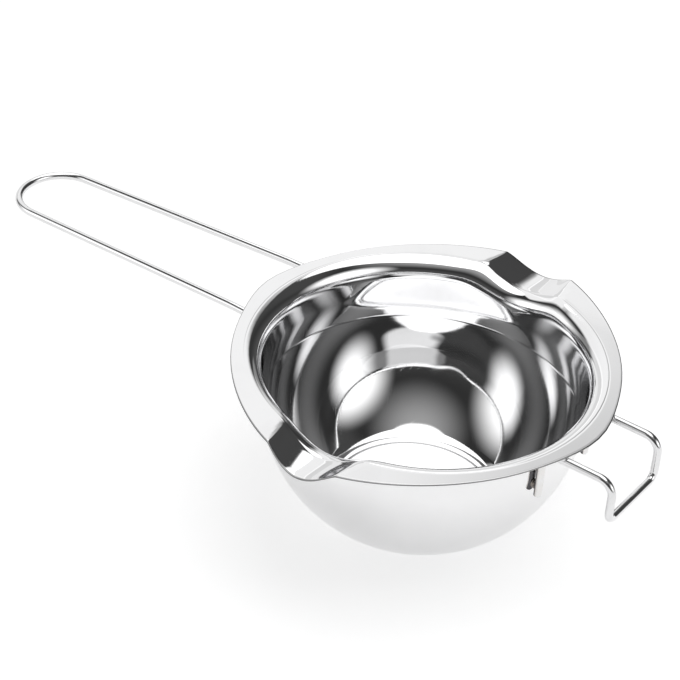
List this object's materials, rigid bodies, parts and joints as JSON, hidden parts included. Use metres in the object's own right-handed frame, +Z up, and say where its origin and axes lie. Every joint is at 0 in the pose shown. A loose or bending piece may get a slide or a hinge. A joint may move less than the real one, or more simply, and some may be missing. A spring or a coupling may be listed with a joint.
{
  "type": "melting pot",
  "caption": "Double-boiler melting pot: a domed steel bowl with a flat base, a flange with opposed pouring spouts, a long wire loop handle and a wire hook that hangs on a pan's rim.",
  "frame": {"origin": "middle of the underside of the flat base, on the surface that the pot stands on", "axes": "+Z up out of the bowl's mouth, +X towards the hook with the handle towards -X, +Y and -Y towards the spouts"},
  "size_m": [0.2776, 0.1566, 0.0637],
  "materials": {
    "sheet_steel": "mirror-polished stainless sheet with fine polishing lines",
    "wire_steel": "bright drawn stainless wire",
    "weld_steel": "dull weld metal with a faint heat tint"
  },
  "bodies": {
    "root": {"bowl": "sheet_steel", "handle_wire": "wire_steel", "hook_wire": "wire_steel", "handle_weld_near_lower": "weld_steel", "handle_weld_near_upper": "weld_steel", "handle_weld_far_lower": "weld_steel", "handle_weld_far_upper": "weld_steel", "hook_weld_near_lower": "weld_steel", "hook_weld_near_upper": "weld_steel", "hook_weld_far_lower": "weld_steel", "hook_weld_far_upper": "weld_steel"}
  },
  "joints": []
}
